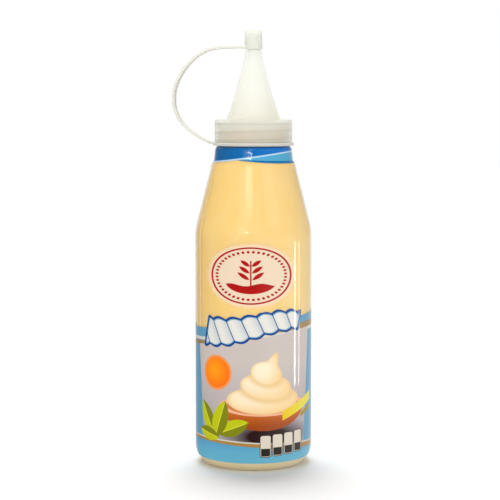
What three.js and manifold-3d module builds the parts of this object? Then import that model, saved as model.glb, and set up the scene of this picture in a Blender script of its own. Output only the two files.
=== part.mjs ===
// A squeeze bottle of mayonnaise with its nozzle closure, standing upright. Millimetres, +Z up.
// The bottle is a clear blown one, full of mayonnaise, in a printed shrink film. A translucent nozzle
// is screwed on its neck. A ring round the neck carries a strap, whose far end is the tip cap.
// Sizes are given about the bottle's own axis. The origin is on the surface that the bottle stands on,
// in the middle of the whole object's box, so the strap on one side moves the axis to the other.

import * as THREE from "three";
import { mergeVertices } from "three/addons/utils/BufferGeometryUtils.js";
import Module from "manifold-3d";

// The film sets the outline that one sees, and the bottle stands inside it.
const FILM_THICKNESS = 0.3;
const FILM_GAP = 0.2;
const BOTTLE_RADIUS = 23.5 - FILM_THICKNESS - FILM_GAP;
const BOTTLE_WALL = 0.8;
const FILL_GAP = 0.3;

// The foot is a flat ring round a shallow dome, with a soft corner up to the side.
const FOOT_INNER_RADIUS = 15.8;
const FOOT_OUTER_RADIUS = 18.0;
const DOME_HEIGHT = 2.2;
const DOME_SHARES = [0, 0.25, 0.5];
const CORNER_HEIGHT = 8.2;

// The side turns into the shoulder through an arc. The shoulder is a straight cone up to a small step
// in, and above the step an almost upright band ends at the flat top that the neck stands on.
const SHOULDER_START = 91.7;
const SHOULDER_ARC_RADIUS = 24;
const SHOULDER_SLOPE = 0.254;
const STEP_BOTTOM = 121;
const STEP_TOP = 122.2;
const BAND_BOTTOM_RADIUS = 15.35;
const BAND_TOP_RADIUS = 14.9;
const BAND_TOP = 126.9;
const SHOULDER_TOP = 128;
const SHOULDER_TOP_RADIUS = 14.1;

// The neck finish, a little under 28 mm across its thread.
const NECK_RADIUS = 12.8;
const NECK_INNER_RADIUS = 11.5;
const MOUTH = 137.3;
const THREAD_DEPTH = 0.95;
const THREAD_HEIGHT = 1.6;
const THREAD_PITCH = 3.2;
const THREAD_START = 131.4;
const THREAD_TURNS = 1.3;
const THREAD_ROOT = 0.4;
const THREAD_FADE = 1 / 8;

const FILM_HEM = 3.65;
const FILM_TOP = 128.1;
const FILL_LEVEL = 135;

// The nozzle: a skirt over the neck, a flat deck, and a hollow cone up to a short tip with a bore.
// The cone's side curves in a little, towards its bend point.
const SKIRT_RADIUS = 15.5;
const SKIRT_BOTTOM = 129.7;
const SKIRT_WALL = 1.2;
const DECK_TOP = 138.75;
const DECK_THICKNESS = 1.3;
const DECK_BEVEL = 0.5;
const CONE_BASE_RADIUS = 10.7;
const CONE_BEND_RADIUS = 4.7;
const CONE_BEND_HEIGHT = 156.3;
const CONE_TOP = 166.3;
const CONE_TOP_RADIUS = 3.05;
const CONE_WALL = 1.15;
const CONE_STEPS = 7;
const TIP_RADIUS = 2.35;
const TIP_TOP_RADIUS = 2.15;
const TIP_TOP = 172.5;
const BORE_RADIUS = 1.25;
const BORE_BOTTOM = 167.8;

// The tether: a flat ring under the skirt, the strap, and the cap on the tip.
const RING_INNER_RADIUS = 13.2;
const RING_OUTER_RADIUS = 16.1;
const RING_BOTTOM = 128.3;
const RING_TOP = 129.6;
const CAP_RADIUS = 3.55;
const CAP_TOP_RADIUS = 3.4;
const CAP_BOTTOM = 166.6;
const CAP_TOP = 174.2;
const CAP_EDGE = 0.9;
const CAP_CAVITY_RADIUS = 2.8;
const CAP_CAVITY_TOP_RADIUS = 2.5;
const CAP_CAVITY_TOP = 172.9;
const STRAP_THICKNESS = 1.05;
const STRAP_WIDTH = 3;
const STRAP_EDGE = 0.24;
const STRAP_TWIST = THREE.MathUtils.degToRad(15);

// The strap's centre line in the plane y = 0, from the cap round to the ring.
const STRAP_ROUTE = [
  [-3.1, 167.4],
  [-9.4, 167.4],
  [-13.9, 167.2],
  [-18.8, 166.05],
  [-23.7, 162.9],
  [-28.3, 157.55],
  [-31.3, 151.0],
  [-31.4, 143.4],
  [-28.5, 137.3],
  [-22.6, 132.25],
  [-19.5, 130.55],
  [-17.4, 129.6],
  [-15.6, 129.05],
  [-14.2, 128.9],
];
const STRAP_STEPS = 40;

const BODY_SIDES = 48;
const NOZZLE_SIDES = 44;
const CAP_SIDES = 28;
const THREAD_STEPS = 32;

// Points closer than these count as one, when a mesh is closed and when an outline is cut.
const MERGE_DISTANCE = 1e-4;
const CLIP_MARGIN = 0.05;

const wasm = await Module();
wasm.setup();

// Points on a quarter or other part of an ellipse about (r, z), from one angle to another in degrees.
function arc(r, z, radiusR, radiusZ, from, to, steps) {
  return Array.from({ length: steps + 1 }, (_, i) => {
    const a = THREE.MathUtils.degToRad(from + ((to - from) * i) / steps);
    return [r + radiusR * Math.cos(a), z + radiusZ * Math.sin(a)];
  });
}

// An outline moved sideways by a distance: inwards for one that climbs the outside of a solid.
// A point on the axis stays on it.
function inset(outline, distance) {
  const normal = ([r0, z0], [r1, z1]) => {
    const length = Math.hypot(r1 - r0, z1 - z0);
    return [-(z1 - z0) / length, (r1 - r0) / length];
  };
  return outline.map(([r, z], i) => {
    const before = i > 0 ? normal(outline[i - 1], outline[i]) : null;
    const after = i < outline.length - 1 ? normal(outline[i], outline[i + 1]) : null;
    const [a, b] = [before ?? after, after ?? before];
    const scale = distance / (1 + a[0] * b[0] + a[1] * b[1]);
    return [r === 0 ? 0 : r + (a[0] + b[0]) * scale, z + (a[1] + b[1]) * scale];
  });
}

// The part of a climbing outline between two heights, with its ends exactly there.
function clip(outline, low, high) {
  const at = (height) => {
    const i = outline.findIndex(([, z], k) => k > 0 && z >= height && outline[k - 1][1] < height);
    const [[r0, z0], [r1, z1]] = [outline[i - 1], outline[i]];
    return [r0 + ((r1 - r0) * (height - z0)) / (z1 - z0), height];
  };
  const between = outline.filter(([, z]) => z > low + CLIP_MARGIN && z < high - CLIP_MARGIN);
  return [at(low), ...between, at(high)];
}

// A solid of revolution about the Z axis.
function turned(outline, sides) {
  const points = outline.map(([r, z]) => new THREE.Vector2(r, z));
  return new THREE.LatheGeometry(points, sides).rotateX(Math.PI / 2);
}

// A closed bar: at(t) gives the ring of points of its section for t from 0 to 1.
function swept(at, steps) {
  const rings = Array.from({ length: steps + 1 }, (_, i) => at(i / steps));
  const count = rings[0].length;
  const index = [];
  for (let i = 0; i < steps; i++) {
    for (let k = 0; k < count; k++) {
      const [a, b] = [i * count + k, i * count + ((k + 1) % count)];
      index.push(a, b, b + count, a, b + count, a + count);
    }
  }
  const last = steps * count;
  for (let k = 1; k < count - 1; k++) {
    index.push(0, k + 1, k, last, last + k, last + k + 1);
  }
  const positions = rings.flat().flatMap((p) => [p.x, p.y, p.z]);
  return new THREE.BufferGeometry()
    .setAttribute("position", new THREE.Float32BufferAttribute(positions, 3))
    .setIndex(index);
}

function toManifold(geometry) {
  const bare = geometry.clone().deleteAttribute("normal").deleteAttribute("uv");
  const merged = mergeVertices(bare, MERGE_DISTANCE);
  const triangles = [];
  for (let i = 0; i < merged.index.count; i += 3) {
    const [a, b, c] = merged.index.array.slice(i, i + 3);
    if (a !== b && b !== c && c !== a) triangles.push(a, b, c);
  }
  const solid = new wasm.Manifold(
    new wasm.Mesh({
      numProp: 3,
      vertProperties: merged.attributes.position.array,
      triVerts: new Uint32Array(triangles),
    }),
  );
  if (solid.volume() <= 0) throw new Error("a piece is inside out");
  return solid;
}

function toGeometry(manifold) {
  const { vertProperties, triVerts } = manifold.getMesh();
  return new THREE.BufferGeometry()
    .setAttribute("position", new THREE.BufferAttribute(vertProperties, 3))
    .setIndex(new THREE.BufferAttribute(triVerts, 1));
}

const joined = (...geometries) =>
  toGeometry(geometries.map(toManifold).reduce((whole, piece) => whole.add(piece)));

// The outside of the bottle from the middle of its base up to the top of the shoulder.
function bottleOutline() {
  const tilt = THREE.MathUtils.radToDeg(Math.atan(SHOULDER_SLOPE));
  const dome = DOME_SHARES.map((share) => [
    FOOT_INNER_RADIUS * share,
    DOME_HEIGHT * (1 - share ** 2),
  ]);
  const corner = arc(
    FOOT_OUTER_RADIUS,
    CORNER_HEIGHT,
    BOTTLE_RADIUS - FOOT_OUTER_RADIUS,
    CORNER_HEIGHT,
    -90,
    0,
    5,
  );
  const turn = arc(
    BOTTLE_RADIUS - SHOULDER_ARC_RADIUS,
    SHOULDER_START,
    SHOULDER_ARC_RADIUS,
    SHOULDER_ARC_RADIUS,
    0,
    tilt,
    4,
  );
  const [turnEndRadius, turnEnd] = turn[turn.length - 1];
  return [
    ...dome,
    [FOOT_INNER_RADIUS, 0],
    ...corner,
    ...turn,
    [turnEndRadius - SHOULDER_SLOPE * (STEP_BOTTOM - turnEnd), STEP_BOTTOM],
    [BAND_BOTTOM_RADIUS, STEP_TOP],
    [BAND_TOP_RADIUS, BAND_TOP],
    [SHOULDER_TOP_RADIUS, SHOULDER_TOP],
  ];
}

// One bar of thread round the neck, which fades into it at both ends.
function neckThread() {
  return swept((t) => {
    const angle = t * THREAD_TURNS * 2 * Math.PI;
    const height = THREAD_START + t * THREAD_TURNS * THREAD_PITCH;
    const fade = Math.min(1, t / THREAD_FADE, (1 - t) / THREAD_FADE);
    const out = NECK_RADIUS + THREAD_DEPTH * fade;
    const half = THREAD_HEIGHT / 2;
    const section = [
      [NECK_RADIUS - THREAD_ROOT, half],
      [out, half / 3],
      [out, -half / 3],
      [NECK_RADIUS - THREAD_ROOT, -half],
    ];
    return section.map(
      ([r, z]) => new THREE.Vector3(r * Math.cos(angle), r * Math.sin(angle), height + z),
    );
  }, THREAD_STEPS);
}

function bottle() {
  const outside = bottleOutline();
  const inside = inset(outside, BOTTLE_WALL);
  const shell = turned(
    [
      ...outside,
      [NECK_RADIUS, SHOULDER_TOP],
      [NECK_RADIUS, MOUTH],
      [NECK_INNER_RADIUS, MOUTH],
      [NECK_INNER_RADIUS, SHOULDER_TOP - BOTTLE_WALL],
      ...inside.slice(0, -1).reverse(),
    ],
    BODY_SIDES,
  );
  return joined(shell, neckThread());
}

// The filling keeps clear of the wall and ends in a level surface in the neck.
function mayonnaise() {
  const outline = inset(bottleOutline(), BOTTLE_WALL + FILL_GAP).slice(0, -1);
  const neck = NECK_INNER_RADIUS - FILL_GAP;
  const neckStart = SHOULDER_TOP - BOTTLE_WALL - FILL_GAP;
  return turned(
    [...outline, [neck, neckStart], [neck, FILL_LEVEL], [0, FILL_LEVEL]],
    BODY_SIDES,
  );
}

function film() {
  const outside = clip(inset(bottleOutline(), -FILM_GAP - FILM_THICKNESS), FILM_HEM, FILM_TOP);
  const inside = clip(inset(bottleOutline(), -FILM_GAP), FILM_HEM, FILM_TOP);
  return turned([...outside, ...inside.reverse(), outside[0]], BODY_SIDES);
}

function coneOutline() {
  const curve = new THREE.QuadraticBezierCurve(
    new THREE.Vector2(CONE_BASE_RADIUS, DECK_TOP),
    new THREE.Vector2(CONE_BEND_RADIUS, CONE_BEND_HEIGHT),
    new THREE.Vector2(CONE_TOP_RADIUS, CONE_TOP),
  );
  return curve.getPoints(CONE_STEPS).map(({ x, y }) => [x, y]);
}

function nozzle() {
  const skirtInner = SKIRT_RADIUS - SKIRT_WALL;
  const deckBottom = DECK_TOP - DECK_THICKNESS;
  const cone = coneOutline();
  const hollow = inset(cone, CONE_WALL);
  const slope = (CONE_BASE_RADIUS - CONE_BEND_RADIUS) / (CONE_BEND_HEIGHT - DECK_TOP);
  const hollowBase = hollow[0][0] + slope * (hollow[0][1] - deckBottom);
  return turned(
    [
      [SKIRT_RADIUS, SKIRT_BOTTOM],
      [SKIRT_RADIUS, DECK_TOP - DECK_BEVEL],
      [SKIRT_RADIUS - DECK_BEVEL / 3, DECK_TOP - DECK_BEVEL / 3],
      [SKIRT_RADIUS - DECK_BEVEL, DECK_TOP],
      ...cone,
      [TIP_RADIUS, CONE_TOP],
      [TIP_TOP_RADIUS, TIP_TOP],
      [BORE_RADIUS, TIP_TOP],
      [BORE_RADIUS, BORE_BOTTOM],
      ...hollow.reverse(),
      [hollowBase, deckBottom],
      [skirtInner, deckBottom],
      [skirtInner, SKIRT_BOTTOM],
      [SKIRT_RADIUS, SKIRT_BOTTOM],
    ],
    NOZZLE_SIDES,
  );
}

// The strap lies flat at the cap and turns its outer face forwards on the way round.
function strap() {
  const points = STRAP_ROUTE.map(([x, z]) => new THREE.Vector3(x, 0, z));
  const route = new THREE.CatmullRomCurve3(points, false, "centripetal");
  const [halfWidth, halfThickness] = [STRAP_WIDTH / 2, STRAP_THICKNESS / 2];
  const section = [
    [halfWidth, halfThickness - STRAP_EDGE],
    [halfWidth - STRAP_EDGE, halfThickness],
    [STRAP_EDGE - halfWidth, halfThickness],
    [-halfWidth, halfThickness - STRAP_EDGE],
    [-halfWidth, STRAP_EDGE - halfThickness],
    [STRAP_EDGE - halfWidth, -halfThickness],
    [halfWidth - STRAP_EDGE, -halfThickness],
    [halfWidth, STRAP_EDGE - halfThickness],
  ];
  return swept((t) => {
    const centre = route.getPointAt(t);
    const along = route.getTangentAt(t);
    const roll = STRAP_TWIST * Math.sin(Math.PI * t) ** 2;
    const outward = new THREE.Vector3(0, -1, 0).cross(along).normalize();
    const across = new THREE.Vector3(0, 1, 0).applyAxisAngle(along, roll);
    outward.applyAxisAngle(along, roll);
    return section.map(([w, h]) =>
      centre.clone().addScaledVector(across, w).addScaledVector(outward, h),
    );
  }, STRAP_STEPS);
}

function tetherRing() {
  return turned(
    [
      [RING_INNER_RADIUS, RING_BOTTOM],
      [RING_OUTER_RADIUS, RING_BOTTOM],
      [RING_OUTER_RADIUS, RING_TOP],
      [RING_INNER_RADIUS, RING_TOP],
      [RING_INNER_RADIUS, RING_BOTTOM],
    ],
    NOZZLE_SIDES,
  );
}

function tipCap() {
  return turned(
    [
      [CAP_CAVITY_RADIUS, CAP_BOTTOM],
      [CAP_RADIUS, CAP_BOTTOM],
      ...arc(CAP_TOP_RADIUS - CAP_EDGE, CAP_TOP - CAP_EDGE, CAP_EDGE, CAP_EDGE, 0, 90, 4),
      [0, CAP_TOP],
      [0, CAP_CAVITY_TOP],
      [CAP_CAVITY_TOP_RADIUS, CAP_CAVITY_TOP],
      [CAP_CAVITY_RADIUS, CAP_BOTTOM],
    ],
    CAP_SIDES,
  );
}

// One moulding: the ring, the strap and the cap.
const tether = () => joined(tetherRing(), strap(), tipCap());

const finishes = {
  clearPlastic: { color: 0xf2ead8, roughness: 0.12, metalness: 0, transparent: true, opacity: 0.4 },
  filling: { color: 0xf6d28c, roughness: 0.4, metalness: 0 },
  printedFilm: { color: 0xf3cf8a, roughness: 0.15, metalness: 0 },
  milkyPlastic: { color: 0xeeebdf, roughness: 0.35, metalness: 0 },
};

function piece(name, geometry, finish) {
  const mesh = new THREE.Mesh(geometry, new THREE.MeshStandardMaterial(finish));
  mesh.name = name;
  return mesh;
}

const group = new THREE.Group();
group.add(
  piece("bottle", bottle(), finishes.clearPlastic),
  piece("mayonnaise", mayonnaise(), finishes.filling),
  piece("printed_film", film(), finishes.printedFilm),
  piece("nozzle", nozzle(), finishes.milkyPlastic),
  piece("tether_cap", tether(), finishes.milkyPlastic),
);

const box = new THREE.Box3().setFromObject(group);
group.position.x = -(box.min.x + box.max.x) / 2;

export default group;
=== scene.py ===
# %% [markdown]
# # A full squeeze bottle of mayonnaise
#
# The real thing is made of five pieces. A clear blown bottle is full of warm yellow mayonnaise.
# A thin printed film is shrunk round the bottle. A milky nozzle is screwed on the neck, and a tether
# holds the small cap that sits on the nozzle's tip. This lesson dresses all five, one after another,
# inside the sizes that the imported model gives.

# %% Load the frame
import math

import bpy
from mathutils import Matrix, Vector


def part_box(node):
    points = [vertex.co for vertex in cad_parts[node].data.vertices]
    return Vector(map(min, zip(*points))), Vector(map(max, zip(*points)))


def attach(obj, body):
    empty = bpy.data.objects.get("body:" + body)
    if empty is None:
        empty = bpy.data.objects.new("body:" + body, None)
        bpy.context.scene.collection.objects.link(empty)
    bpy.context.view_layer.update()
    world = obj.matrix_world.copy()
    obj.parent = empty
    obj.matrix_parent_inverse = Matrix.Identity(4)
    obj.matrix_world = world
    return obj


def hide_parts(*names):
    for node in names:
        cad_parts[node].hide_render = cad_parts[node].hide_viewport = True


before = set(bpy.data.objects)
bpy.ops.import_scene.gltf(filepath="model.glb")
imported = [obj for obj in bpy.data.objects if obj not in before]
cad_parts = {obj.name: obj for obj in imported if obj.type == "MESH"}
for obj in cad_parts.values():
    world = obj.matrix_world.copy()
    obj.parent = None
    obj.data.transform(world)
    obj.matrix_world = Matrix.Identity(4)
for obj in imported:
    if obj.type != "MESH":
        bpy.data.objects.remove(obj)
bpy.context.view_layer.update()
print("pieces in the frame:", sorted(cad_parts))

# %% [markdown]
# ## Driving sizes
#
# Outlines are written in millimetres about the bottle's own axis, as a drawing on a workshop wall
# would be. The axis isn't at the frame's origin, because the strap reaches out on one side. The
# frame's boxes give the axis and every outer size, so only the inner curves are named here.

# %% Read the outer sizes from the frame
MM = 0.001


def outer_size(node):
    """Radius, bottom and top of a turned node, in millimetres."""
    low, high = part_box(node)
    return (high.y - low.y) / 2 / MM, low.z / MM, high.z / MM


bottle_low, bottle_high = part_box("bottle")
AXIS = (bottle_low.x + bottle_high.x) / 2
BOTTLE_RADIUS, _, MOUTH = outer_size("bottle")
FILM_RADIUS, FILM_HEM, FILM_TOP = outer_size("printed_film")
SKIRT_RADIUS, SKIRT_BOTTOM, TIP_TOP = outer_size("nozzle")
RING_RADIUS, RING_BOTTOM, CAP_TOP = outer_size("tether_cap")
FILL_LEVEL = outer_size("mayonnaise")[2]
print(f"axis at x = {AXIS / MM:.2f} mm, body {2 * FILM_RADIUS:.1f} mm across, {CAP_TOP:.1f} mm tall")

# %% Name the curves inside those sizes
BOTTLE_WALL = 0.8
FILM_THICKNESS = 0.3
OUTER_SHARE = 0.9
FILL_REACH = 0.7

FOOT_INNER_RADIUS = 15.8
FOOT_OUTER_RADIUS = 18.0
DOME_HEIGHT = 2.2
CORNER_HEIGHT = 8.2

SHOULDER_START = 91.7
SHOULDER_ARC_RADIUS = 24
SHOULDER_SLOPE = 0.254
STEP_BOTTOM = 121
STEP_TOP = 122.2
BAND_BOTTOM_RADIUS = 15.35
BAND_TOP_RADIUS = 14.9
BAND_TOP = 126.9
SHOULDER_TOP = 128
SHOULDER_TOP_RADIUS = 14.1

NECK_RADIUS = 12.8
NECK_INNER_RADIUS = 11.5

BODY_SIDES = 192
NECK_SIDES = 144
CAP_SIDES = 96
FILL_FACE = 3.0
FILM_FACE = 1.0

# %% [markdown]
# ## Turned pieces
#
# A blown bottle, a screw closure and a cap are all turned about one axis. Spinning an outline by hand
# in Blender works too, but it leaves doubled points at the poles and can turn the faces inwards. A
# short function that writes the rings itself keeps the poles closed and the faces outwards, and it can
# lay a tidy unwrap at the same time. An outline climbs on the outside of the piece.


# %% Draw an outline with arcs and soft corners
def arc(r, z, radius_r, radius_z, start, end, steps):
    """Points on a part of an ellipse about (r, z), from one angle to another in degrees."""
    angles = [math.radians(start + (end - start) * i / steps) for i in range(steps + 1)]
    return [(r + radius_r * math.cos(a), z + radius_z * math.sin(a)) for a in angles]


def bend(start, middle, end, steps):
    """Points on the curve that leaves start towards middle and arrives at end."""
    points = []
    for i in range(steps + 1):
        t = i / steps
        a, b, c = (1 - t) ** 2, 2 * t * (1 - t), t * t
        points.append(tuple(a * s + b * m + c * e for s, m, e in zip(start, middle, end)))
    return points


def softened(corners, steps=4):
    """An outline whose corners (r, z, radius) are rounded. A corner of radius 0 stays sharp."""
    outline = []
    for i, (r, z, radius) in enumerate(corners):
        if radius == 0:
            outline.append((r, z))
            continue
        ends = []
        for other in (corners[i - 1], corners[(i + 1) % len(corners)]):
            length = math.hypot(other[0] - r, other[1] - z)
            share = min(radius / length, 0.49)
            ends.append((r + (other[0] - r) * share, z + (other[1] - z) * share))
        outline += bend(ends[0], (r, z), ends[1], steps)
    return outline


def inset(outline, distance):
    """An outline moved towards the inside of the solid. A point on the axis stays on it."""
    def normal(p, q):
        length = math.hypot(q[0] - p[0], q[1] - p[1])
        return -(q[1] - p[1]) / length, (q[0] - p[0]) / length

    sides = [normal(p, q) for p, q in zip(outline, outline[1:])]
    moved = []
    for (r, z), a, b in zip(outline, [sides[0], *sides], [*sides, sides[-1]]):
        scale = distance / (1 + a[0] * b[0] + a[1] * b[1])
        moved.append((0 if r == 0 else r + (a[0] + b[0]) * scale, z + (a[1] + b[1]) * scale))
    return moved


def clip(outline, low, high):
    """The part of a climbing outline between two heights."""
    def at(height):
        for (r0, z0), (r1, z1) in zip(outline, outline[1:]):
            if z0 < height <= z1:
                return r0 + (r1 - r0) * (height - z0) / (z1 - z0), height

    return [at(low), *[p for p in outline if low + 0.05 < p[1] < high - 0.05], at(high)]


def divided(outline, longest):
    """An outline whose straight stretches are cut into lengths of at most longest."""
    points = [outline[0]]
    for (r0, z0), (r1, z1) in zip(outline, outline[1:]):
        count = max(1, math.ceil(math.hypot(r1 - r0, z1 - z0) / longest))
        points += [(r0 + (r1 - r0) * i / count, z0 + (z1 - z0) * i / count)
                   for i in range(1, count + 1)]
    return points


# %% Spin an outline into a closed piece
def placed(name, data):
    """A new object with this data, in the scene."""
    made = bpy.data.objects.new(name, data)
    bpy.context.scene.collection.objects.link(made)
    return made


SHARP_EDGE = 32


def finished(name, mesh):
    """Puts a mesh in the scene, smooth apart from its sharp edges."""
    mesh.name = name
    mesh.shade_smooth()
    mesh.set_sharp_from_angle(angle=math.radians(SHARP_EDGE))
    return placed(name, mesh)


def turned(name, outline, sides):
    """A closed solid of revolution. The outline ends on the axis, or closes on itself."""
    closed = outline[0][0] > 0
    ring_starts, vertices = [], []
    for r, z in outline:
        ring_starts.append(len(vertices))
        for k in range(sides if r > 0 else 1):
            a = 2 * math.pi * k / sides
            vertices.append((AXIS + r * math.sin(a) * MM, -r * math.cos(a) * MM, z * MM))
    pairs = list(range(len(outline) - 1)) + ([-1] if closed else [])
    faces = []
    for i in pairs:
        low, high = ring_starts[i], ring_starts[i + 1]
        low_wide, high_wide = outline[i][0] > 0, outline[i + 1][0] > 0
        for k in range(sides):
            n = (k + 1) % sides
            quad = [low + k * low_wide, low + n * low_wide, high + n * high_wide, high + k * high_wide]
            faces.append(list(dict.fromkeys(quad)))
    mesh = bpy.data.meshes.new(name)
    mesh.from_pydata(vertices, [], faces)
    mesh.validate()
    piece = finished(name, mesh)
    print(f"{name}: {len(mesh.polygons)} faces")
    return piece


# %% [markdown]
# ## Geometry Nodes for what follows a path
#
# Threads, a strap and the small wrinkles of shrunk film follow a path or a surface by a rule, so
# Geometry Nodes make them. Each tree has named inputs, which are set by their identifiers, and the
# result is baked into a plain mesh, because an export drops instances and live trees.


# %% Write node trees in short steps
def step(tree, kind, inputs=(), **settings):
    """Adds a node. Each named input gets a value, or a link from another node or one output."""
    made = tree.nodes.new(kind)
    for name, value in settings.items():
        setattr(made, name, value)
    for name, value in dict(inputs).items():
        if isinstance(value, Field):
            value = value.socket
        if isinstance(value, bpy.types.Node):
            value = value.outputs[0]
        if isinstance(value, bpy.types.NodeSocket):
            tree.links.new(value, made.inputs[name])
        else:
            made.inputs[name].default_value = value
    return made


class Field:
    """A number that a tree works out at every point. Sums on it add Math nodes."""

    def __init__(self, socket):
        self.socket = socket

    def math(self, operation, *values, clamp=False):
        tree = self.socket.id_data
        made = step(tree, "ShaderNodeMath", dict(enumerate(values)), operation=operation,
                    use_clamp=clamp)
        return Field(made.outputs[0])

    def __rsub__(self, other):
        return self.math("SUBTRACT", other, self)

    def held(self):
        """The number kept from 0 to 1."""
        return self.math("ADD", self, 0.0, clamp=True)


SUMS = {"__add__": "ADD", "__radd__": "ADD", "__sub__": "SUBTRACT", "__mul__": "MULTIPLY",
        "__rmul__": "MULTIPLY", "__truediv__": "DIVIDE", "power": "POWER", "sine": "SINE",
        "cosine": "COSINE", "size": "ABSOLUTE", "root": "SQRT", "fraction": "FRACT",
        "lower": "MINIMUM", "upper": "MAXIMUM", "angle_from": "ARCTAN2"}
for word, operation in SUMS.items():
    setattr(Field, word, lambda self, *others, kind=operation: self.math(kind, self, *others))
print("sums on a field:", *SUMS)


def turn_about_axis(x, y):
    """The turn round the axis, 0 at the front and growing to the right."""
    return x.angle_from(y * -1.0)


# %% Run a tree on a host and keep the plain mesh
def plain_mesh(piece):
    """A plain mesh of an object as its modifiers leave it."""
    graph = bpy.context.evaluated_depsgraph_get()
    return bpy.data.meshes.new_from_object(piece.evaluated_get(graph))
def new_tree(name, **sizes):
    """A Geometry Nodes tree with one number input for each size, and the outputs of its input node."""
    tree = bpy.data.node_groups.new(name, "GeometryNodeTree")
    tree.interface.new_socket("Geometry", in_out="INPUT", socket_type="NodeSocketGeometry")
    for label, value in sizes.items():
        socket = tree.interface.new_socket(label, in_out="INPUT", socket_type="NodeSocketFloat")
        socket.default_value = value
    tree.interface.new_socket("Material", in_out="INPUT", socket_type="NodeSocketMaterial")
    tree.interface.new_socket("Geometry", in_out="OUTPUT", socket_type="NodeSocketGeometry")
    return tree, tree.nodes.new("NodeGroupInput").outputs


def end_tree(tree, geometry, material):
    """Ends a tree as the export needs it: real geometry, with its material."""
    real = step(tree, "GeometryNodeRealizeInstances", {"Geometry": geometry})
    dressed = step(tree, "GeometryNodeSetMaterial",
                   {"Geometry": real, "Material": material})
    step(tree, "NodeGroupOutput", {"Geometry": dressed})


def grown(name, tree, host, material, **sizes):
    """Runs a tree on a host object and gives the result as a plain piece. The host goes."""
    modifier = host.modifiers.new(name, "NODES")
    modifier.node_group = tree
    for item in tree.interface.items_tree:
        if item.in_out == "INPUT" and item.name in sizes:
            modifier[item.identifier] = float(sizes[item.name])
        if item.in_out == "INPUT" and item.name == "Material":
            modifier[item.identifier] = material
    mesh = plain_mesh(host)
    host.modifiers.remove(modifier)
    bpy.data.objects.remove(host)
    piece = finished(name, mesh)
    print(f"{name}: {len(mesh.polygons)} faces from {tree.name}")
    return piece


# %% Join overlapping solids into one
def fused(name, base, *others):
    """One closed skin round several solids, as one moulding has."""
    for other in others:
        joint = base.modifiers.new(other.name, "BOOLEAN")
        joint.operation = "UNION"
        joint.solver = "EXACT"
        joint.object = other
    mesh = plain_mesh(base)
    base.modifiers.clear()
    for piece in (base, *others):
        bpy.data.objects.remove(piece)
    whole = finished(name, mesh)
    print(f"{name}: {len(mesh.polygons)} faces when joined")
    return whole


# %% [markdown]
# ## Finishes
#
# Colours are named as the eye sees them, from 0 to 255, and turned into the light values that Blender
# works with. Clear plastic could be real glass, which bends light, but then hardly any lamp reaches
# the mayonnaise behind it. A thin clear skin bends light so little that a see-through shader under a
# mirror that grows towards the edges looks the same and stays clean.


# %% Turn seen colours into light values
WHITE = (1, 1, 1, 1)


def seen(red, green, blue):
    """A colour as the eye sees it, from 0 to 255, as a light value."""
    def light(value):
        value /= 255
        return value / 12.92 if value <= 0.04045 else ((value + 0.055) / 1.055) ** 2.4

    return (light(red), light(green), light(blue), 1.0)


def new_material(name):
    material = bpy.data.materials.new(name)
    material.use_nodes = True
    material.node_tree.nodes.clear()
    return material, material.node_tree


def blended(tree, share, first, second):
    """A colour between two, by a share from 0 to 1."""
    mix = step(tree, "ShaderNodeMix", {0: share, 6: first, 7: second}, data_type="RGBA")
    return mix.outputs[2]


def edge_shine(tree, front):
    """How much a smooth plastic face mirrors: a little from the front, all of it at the edge."""
    facing = step(tree, "ShaderNodeLayerWeight", {"Blend": 0.5}).outputs["Facing"]
    return Field(facing).power(5.0) * (1 - front) + front


def in_millimetres(tree):
    """Places on a piece in millimetres about the bottle's axis, and the vector that holds them."""
    place = step(tree, "ShaderNodeTexCoord").outputs["Object"]
    centred = step(tree, "ShaderNodeMapping",
                   {"Vector": place, "Location": (-AXIS / MM, 0, 0), "Scale": (1 / MM,) * 3})
    split = step(tree, "ShaderNodeSeparateXYZ", {0: centred})
    return [Field(out) for out in split.outputs], centred


def noise(tree, vector, scale, detail=3.0, stretch=(1, 1, 1)):
    """A soft random pattern, given as a number about 0.5. Scale counts features in a millimetre."""
    shaped = step(tree, "ShaderNodeMapping", {"Vector": vector, "Scale": stretch})
    made = step(tree, "ShaderNodeTexNoise",
                {"Vector": shaped, "Scale": scale, "Detail": detail})
    return Field(made.outputs["Fac"])


def waved(tree, strength, distance, height):
    """The direction of a face that a bump of a distance in millimetres tilts."""
    return step(tree, "ShaderNodeBump",
                {"Strength": strength, "Distance": distance * MM, "Height": height})


def layer(tree, kind, inputs):
    return step(tree, "ShaderNodeBsdf" + kind, inputs)


def mixed(tree, share, first, second):
    """A layer between two, by a share from 0 to 1."""
    return step(tree, "ShaderNodeMixShader", {0: share, 1: first, 2: second})


def end_material(tree, surface):
    step(tree, "ShaderNodeOutputMaterial", {"Surface": surface})


# %% Mayonnaise: dense, warm, a little uneven against the wall, and paler towards the right as painted light
WARM, PALE = seen(224, 186, 98), seen(223, 192, 122)
SMEAR_CONTRAST = 3.2
PAINTED_LIGHT_RIGHT = 0.5


def mayonnaise_finish():
    material, tree = new_material("mayonnaise")
    (x, y, _), place = in_millimetres(tree)
    smears = noise(tree, place, 0.16, 4.0, (1, 1, 0.35))
    grain = noise(tree, place, 1.1, 2.0)
    # The turn round the axis paints light: the mayonnaise grows paler towards the right, where more
    # light falls.
    share = (smears - 0.5) * SMEAR_CONTRAST + turn_about_axis(x, y) * PAINTED_LIGHT_RIGHT + 0.5
    colour = blended(tree, share.held(), WARM, PALE)
    dents = waved(tree, 0.25, 0.3, grain * 0.3 + smears)
    body = layer(tree, "Principled", {"Base Color": colour, "Roughness": 0.38,
                                      "Specular IOR Level": 0.15, "Normal": dents})
    end_material(tree, body)
    return material


# %% Clear plastic: see-through, mirror-like where the film leaves it bare, milky in its thick base
MILKY_TOP = 9.0
MILKY_FADE = 5.0
MILKY_SHARE = 0.75
FILM_OVERLAP = 0.5


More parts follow.
